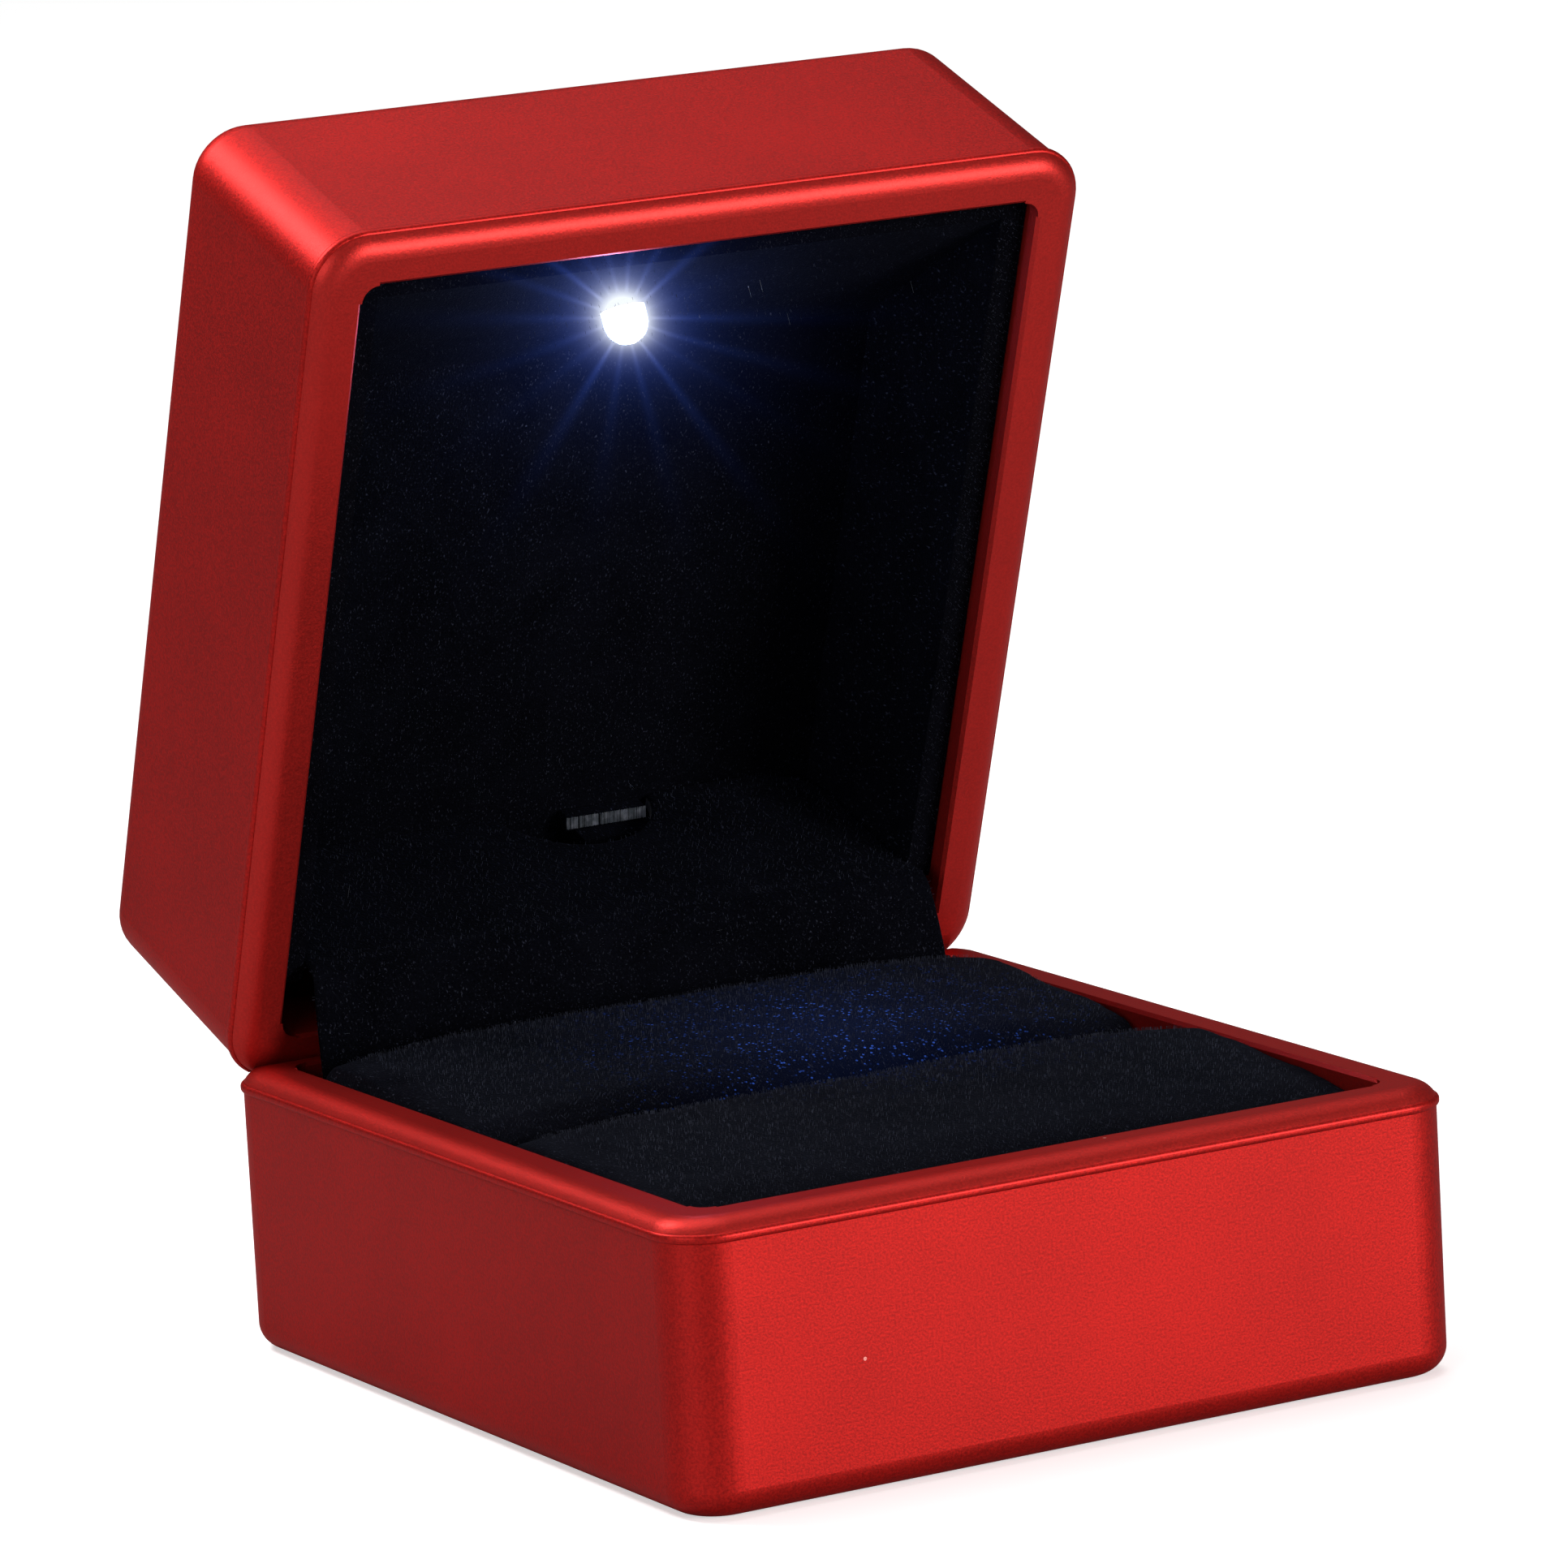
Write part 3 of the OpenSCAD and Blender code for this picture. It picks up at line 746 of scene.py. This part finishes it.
def extrudeFlap(rows):
    clearSelection()
    bpy.ops.mesh.primitive_plane_add(size=1, location=(0, rows[0][0], rows[0][1]))
    flap = nameNew(flapShape["name"])
    flap.scale = (2 * rows[0][2] * mm, 0.1 * mm, 1)
    settle(flap)
    pick(flap, lambda p: p.y < rows[0][0])
    bpy.ops.mesh.delete(type="VERT")
    stopEditing()
    pickAll(flap)
    lastY, lastZ, lastHalf = flap.data.vertices[0].co.y, rows[0][1], rows[0][2]
    for y, z, half in rows[1:]:
        bpy.ops.mesh.extrude_region_move(
            TRANSFORM_OT_translate={"value": (0, y - lastY, z - lastZ)})
        bpy.ops.transform.resize(value=(half / lastHalf, 1, 1))
        lastY, lastZ, lastHalf = y, z, half
    stopEditing()
    pick(flap, lambda a, b: abs(a.x - b.x) > 10 * mm, "EDGE")
    bpy.ops.mesh.subdivide(number_cuts=flapShape["cutsAcross"])
    stopEditing()
    return flap


def raiseHump(flap):
    x, depth, rise, reach = flapShape["hump"]
    top = lidPlace @ Vector((x * mm, lidBox("floor_velvet")[0].y, depth * mm))
    pick(flap, lambda p: (p - top).length < 1.6 * mm)
    bpy.ops.transform.translate(value=lidUp * rise * mm, use_proportional_edit=True,
                                proportional_edit_falloff="SMOOTH",
                                proportional_size=reach * mm)
    stopEditing()


def faceUp(flap):
    pickAll(flap)
    bpy.ops.mesh.normals_make_consistent(inside=False)
    stopEditing()
    if sum(f.normal.dot(lidUp) for f in flap.data.polygons) < 0:
        pickAll(flap)
        bpy.ops.mesh.flip_normals()
        stopEditing()


def cutNotch(flap):
    # half-moon notch in the flap's rear edge, where the tongue stands
    floorLow, floorHigh = lidBox("floor_velvet")
    moon = (notch["width"] ** 2 / 4 + notch["deep"] ** 2) / (2 * notch["deep"])
    middle = Vector((notch["x"] * mm, floorLow.y, floorHigh.z + (moon - notch["deep"]) * mm))
    clearSelection()
    bpy.ops.mesh.primitive_cylinder_add(radius=moon * mm, depth=notch["cutterHigh"] * mm,
                                        vertices=96, location=middle, rotation=(pi / 2, 0, 0))
    cutter = nameNew("notchCutter")
    settle(cutter)
    cutter.matrix_world = lidPlace
    settle(cutter)
    applyNow(flap, "BOOLEAN", operation="DIFFERENCE", object=cutter, solver="EXACT")
    bpy.data.objects.remove(cutter)


def makeFlap():
    rows = flapRows()
    flap = extrudeFlap(rows)
    raiseHump(flap)
    applyNow(flap, "SUBSURF", levels=1, render_levels=1)
    softLumps(flap, flapShape["lumps"][0] * mm, flapShape["lumps"][1] * mm)
    faceUp(flap)
    applyNow(flap, "SOLIDIFY", thickness=flapShape["thick"] * mm, offset=-1.0)
    cutNotch(flap)
    applyNow(flap, "SUBSURF", levels=1, render_levels=1)
    bpy.ops.object.shade_smooth()
    flap.data.materials.clear()
    flap.data.materials.append(panelVelvet)
    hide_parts("cover_velvet", "floor_velvet")
    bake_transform(flap)
    return flap


flap = makeFlap()
say("velvet flap")


# loose pile, fringe and lint: short fibres grown on the cloth
fibre = {
    "radius": 0.010,      # mm
    "length": 0.22,
    "edgeClear": 1.2,     # bare strip at a roll's ends, where the closed lid's rim passes
    "pileColours": ((0.0035, 0.0038, 0.0070, 1), (0.060, 0.066, 0.100, 1)),
    "lintColours": ((0.09, 0.10, 0.11, 1), (0.24, 0.25, 0.28, 1)),
    "lint": {"length": 4.0, "thick": 0.8},      # times the length and radius above
    "fringe": {"length": 3.8, "thick": 1.1},
    "rollCount": 10000,
    "flapCount": 6500,
    "flangeCount": 3500,
    "wallCount": 6500,
    "fringeCount": 230,
    "flapLint": 14,
    "wallLint": 12,
}


def makeFibre(name, dark, light):
    material, tree, shader = newMaterial(name, roughness=0.7, specular=0.15, sheen=0.1,
                                         sheenTint=velvet["sheenTint"])
    place = addNode(tree, "TexCoord").outputs["Object"]
    chance = addNode(tree, "TexNoise", {"Vector": place, "Scale": 1 / (0.5 * mm),
                                        "Detail": 1.0}).outputs[0]
    feed(tree, shader, colour=mixColour(tree, between(tree, chance, 0.42, 0.72), dark, light))
    return material


pileFibre = makeFibre("pileFibre", *fibre["pileColours"])
lintFibre = makeFibre("lintFibre", *fibre["lintColours"])


def growFibres(name, ground, wanted, count, seed, material, length=1.0, thick=1.0):
    # ground is copied and trimmed to where the fibres grow, and the copy goes when they are made
    makeActive(ground)
    bpy.ops.object.duplicate()
    bed = nameNew(name + "Bed")
    pick(bed, lambda p: not wanted(p), "FACE")
    bpy.ops.mesh.delete(type="FACE")
    stopEditing()
    bpy.ops.object.particle_system_add()
    system = bed.particle_systems[0]
    system.seed = seed
    system.settings.type = "HAIR"
    system.settings.count = count
    system.settings.hair_step = 2
    system.settings.render_step = system.settings.display_step = 1
    system.settings.hair_length = fibre["length"] * length * mm
    bpy.ops.object.modifier_convert(modifier=bed.modifiers[-1].name)
    fibres = nameNew(name)
    bpy.data.objects.remove(bed)
    makeActive(fibres)
    bpy.ops.object.convert(target="CURVE")
    fibres.data.bevel_depth = fibre["radius"] * thick * mm
    fibres.data.bevel_resolution = 0
    bpy.ops.object.convert(target="MESH")
    fibres = nameNew(name)
    fibres.data.materials.clear()
    fibres.data.materials.append(material)
    return fibres


def pileOverCloth():
    rollLow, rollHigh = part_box("front_ring_roll")
    bareBelow = rollLow.z + 7 * mm
    halfWidth = rollHigh.x - fibre["edgeClear"] * mm
    for roll, seed in ((frontRoll, 3), (rearRoll, 4)):
        nap = growFibres(roll.name + "Pile", roll,
                         lambda p: p.z > bareBelow and abs(p.x) < halfWidth,
                         fibre["rollCount"], seed, pileFibre)
        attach(nap, "base")
    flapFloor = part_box("cover_velvet")[0].z + 2 * mm
    nap = growFibres("flapPile", flap, lambda p: p.z > flapFloor, fibre["flapCount"], 5, pileFibre)
    lint = growFibres("flapLint", flap, lambda p: p.z > flapFloor, fibre["flapLint"], 8, lintFibre,
                      **fibre["lint"])
    for cloth in (nap, lint):
        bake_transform(cloth)


def linerPile():
    back = lidPlace.inverted()
    flangeDepth = linerLow.z + 1.2 * mm
    innerHalf = linerHigh.x - 0.5 * mm
    liner = frame["nodes"]["lid_liner"]

    def onFlange(p):
        return (back @ p).z < flangeDepth

    def onWalls(p):
        q = back @ p
        return q.z > flangeDepth and abs(q.x) < innerHalf

    for grown in (
        growFibres("flangePile", liner, onFlange, fibre["flangeCount"], 6, pileFibre),
        growFibres("wallPile", liner, onWalls, fibre["wallCount"], 7, pileFibre),
        growFibres("wallLint", liner, onWalls, fibre["wallLint"], 9, lintFibre, **fibre["lint"]),
    ):
        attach(grown, "lid")


strap = {
    "ends": (3.6, 10.1),      # x, mm
    "front": 14.9,            # depth in the lid
    "long": 1.2,
    "sunk": 0.1,              # below the velvet beside it
    "edgeRound": 0.18,
    "fringeTurn": -105,       # degrees, so that the fringe hangs over the front edge
}


def makeStrap():
    # raised end of the tongue
    top = lidBox("floor_velvet")[0].y + strap["sunk"] * mm
    left, right = (x * mm for x in strap["ends"])
    size = Vector((right - left, lidBox("liner_tongue")[0].y + 0.1 * mm - top,
                   strap["long"] * mm))
    front = strap["front"] * mm
    clearSelection()
    bpy.ops.mesh.primitive_cube_add(size=1, scale=size, location=(
        (left + right) / 2, top + size.y / 2, front + size.z / 2))
    pad = nameNew("tongueStrap")
    settle(pad)
    pickAll(pad)
    bpy.ops.mesh.bevel(offset=strap["edgeRound"] * mm, segments=3, affect="EDGES")
    stopEditing()
    pad.matrix_world = lidPlace
    settle(pad)
    pad.data.materials.append(linerFlock)
    bpy.ops.object.shade_smooth_by_angle(angle=radians(40))
    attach(pad, "lid")


def makeFringe():
    # pale backing fibres that hang over the strap's front edge
    top = lidBox("floor_velvet")[0].y + strap["sunk"] * mm
    left, right = (x * mm for x in strap["ends"])
    clearSelection()
    bpy.ops.mesh.primitive_plane_add(
        size=1, rotation=(radians(strap["fringeTurn"]), 0, 0),
        location=((left + right) / 2, top + 0.05 * mm, strap["front"] * mm - 0.03 * mm))
    strip = nameNew("fringeStrip")
    strip.scale = (right - left, 0.22 * mm, 1)
    settle(strip)
    strip.matrix_world = lidPlace
    settle(strip)
    fringe = growFibres("tongueFringe", strip, lambda p: True, fibre["fringeCount"], 11,
                        lintFibre, **fibre["fringe"])
    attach(fringe, "lid")
    bpy.data.objects.remove(strip)


pileOverCloth()
linerPile()
makeStrap()
makeFringe()
say("pile, lint and fringe")


studio = {
    "azimuth": 29.42, "down": 10.64, "roll": 3.14, "distance": 640.1,
    "aimShift": (2.23, -0.74, -4.16), "lens": 214.64,
    "floor": 12000, "floorGlow": 0.5, "floorBounce": (0.5, 0.5, 0.5, 1),
    "room": 0.13,
    "lights": [                # name, place, size, power, target
        ("overhead", (0.0, 0.35, 1.3), 1.4, 12, (0, 0.01, 0.03)),
        ("left", (-1.0, -0.45, 0.25), 0.7, 4.2, (0, 0.01, 0.03)),
        ("frontRight", (0.50, -0.95, 0.22), 0.45, 9.5, (0, 0.01, 0.03)),
        ("upperLeft", (-0.10, 0.085, 0.17), 0.06, 0.18, (-0.03, 0.02, 0.075)),
    ],
    "lamp": 0.009, "lampTint": (0.42, 0.55, 1.0), "lampClear": 3.5, "lampSoft": 1.2,
}


def makeCamera():
    middle = (cadLow + cadHigh) / 2 + Vector(studio["aimShift"]) * mm
    azimuth, down = radians(studio["azimuth"]), radians(studio["down"])
    ahead = Vector((sin(azimuth) * cos(down), cos(azimuth) * cos(down), -sin(down)))
    turn = (Matrix.Rotation(-azimuth, 3, "Z") @ Matrix.Rotation(pi / 2 - down, 3, "X")
            @ Matrix.Rotation(-radians(studio["roll"]), 3, "Z"))
    clearSelection()
    bpy.ops.object.camera_add(location=middle - ahead * studio["distance"] * mm,
                              rotation=turn.to_euler())
    camera = bpy.context.active_object
    camera.name = "camera"
    camera.data.sensor_width = 36
    camera.data.lens = studio["lens"]
    camera.data.clip_start = 0.01
    camera.data.clip_end = 50
    bpy.context.scene.camera = camera


def makeFloor():
    clearSelection()
    bpy.ops.mesh.primitive_plane_add(size=studio["floor"] * mm)
    floor = nameNew("floor")
    material, tree, shader = newMaterial("floorPaper", specular=0.0, roughness=0.9,
                                         glow=(1, 1, 1, 1), glowStrength=studio["floorGlow"])
    grain = useGroup(tree, "sprayGrain", Size=0.8, Patch=60.0)
    feed(tree, shader, colour=mixColour(tree, grain["Tone"], (0.88, 0.88, 0.88, 1),
                                        (0.92, 0.92, 0.92, 1)))
    dim = addNode(tree, "BsdfDiffuse", {"Color": studio["floorBounce"]})   # what the box is lit by
    seen = addNode(tree, "LightPath").outputs["Is Camera Ray"]
    mixed = addNode(tree, "MixShader", {0: seen, 1: dim.outputs[0], 2: shader.outputs[0]})
    tree.links.new(mixed.outputs[0], tree.nodes["Material Output"].inputs["Surface"])
    floor.data.materials.append(material)


def makeLights():
    world = bpy.data.worlds.new("room")
    world.use_nodes = True
    sky = world.node_tree.nodes["Background"]
    sky.inputs["Color"].default_value = (1, 1, 1, 1)
    sky.inputs["Strength"].default_value = studio["room"]
    bpy.context.scene.world = world
    for name, place, size, power, target in studio["lights"]:
        aim = (Vector(target) - Vector(place)).to_track_quat("-Z", "Y").to_euler()
        clearSelection()
        bpy.ops.object.light_add(type="AREA", location=place, rotation=aim)
        light = bpy.context.active_object
        light.name = name
        light.visible_camera = False
        light.data.size = size
        light.data.energy = power


def makeLampLight():
    outward = lidPlace.to_3x3() @ slantNormal
    place = lidPlace @ lampEnd + outward * studio["lampClear"] * mm
    clearSelection()
    bpy.ops.object.light_add(type="POINT", location=place)
    light = bpy.context.active_object
    light.name = "lampLight"
    light.visible_camera = False
    light.data.energy = studio["lamp"]
    light.data.color = studio["lampTint"]
    light.data.shadow_soft_size = studio["lampSoft"] * mm
    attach(light, "lid")


makeCamera()
makeFloor()
makeLights()
makeLampLight()
bpy.context.scene.view_settings.view_transform = "Standard"
say("studio")
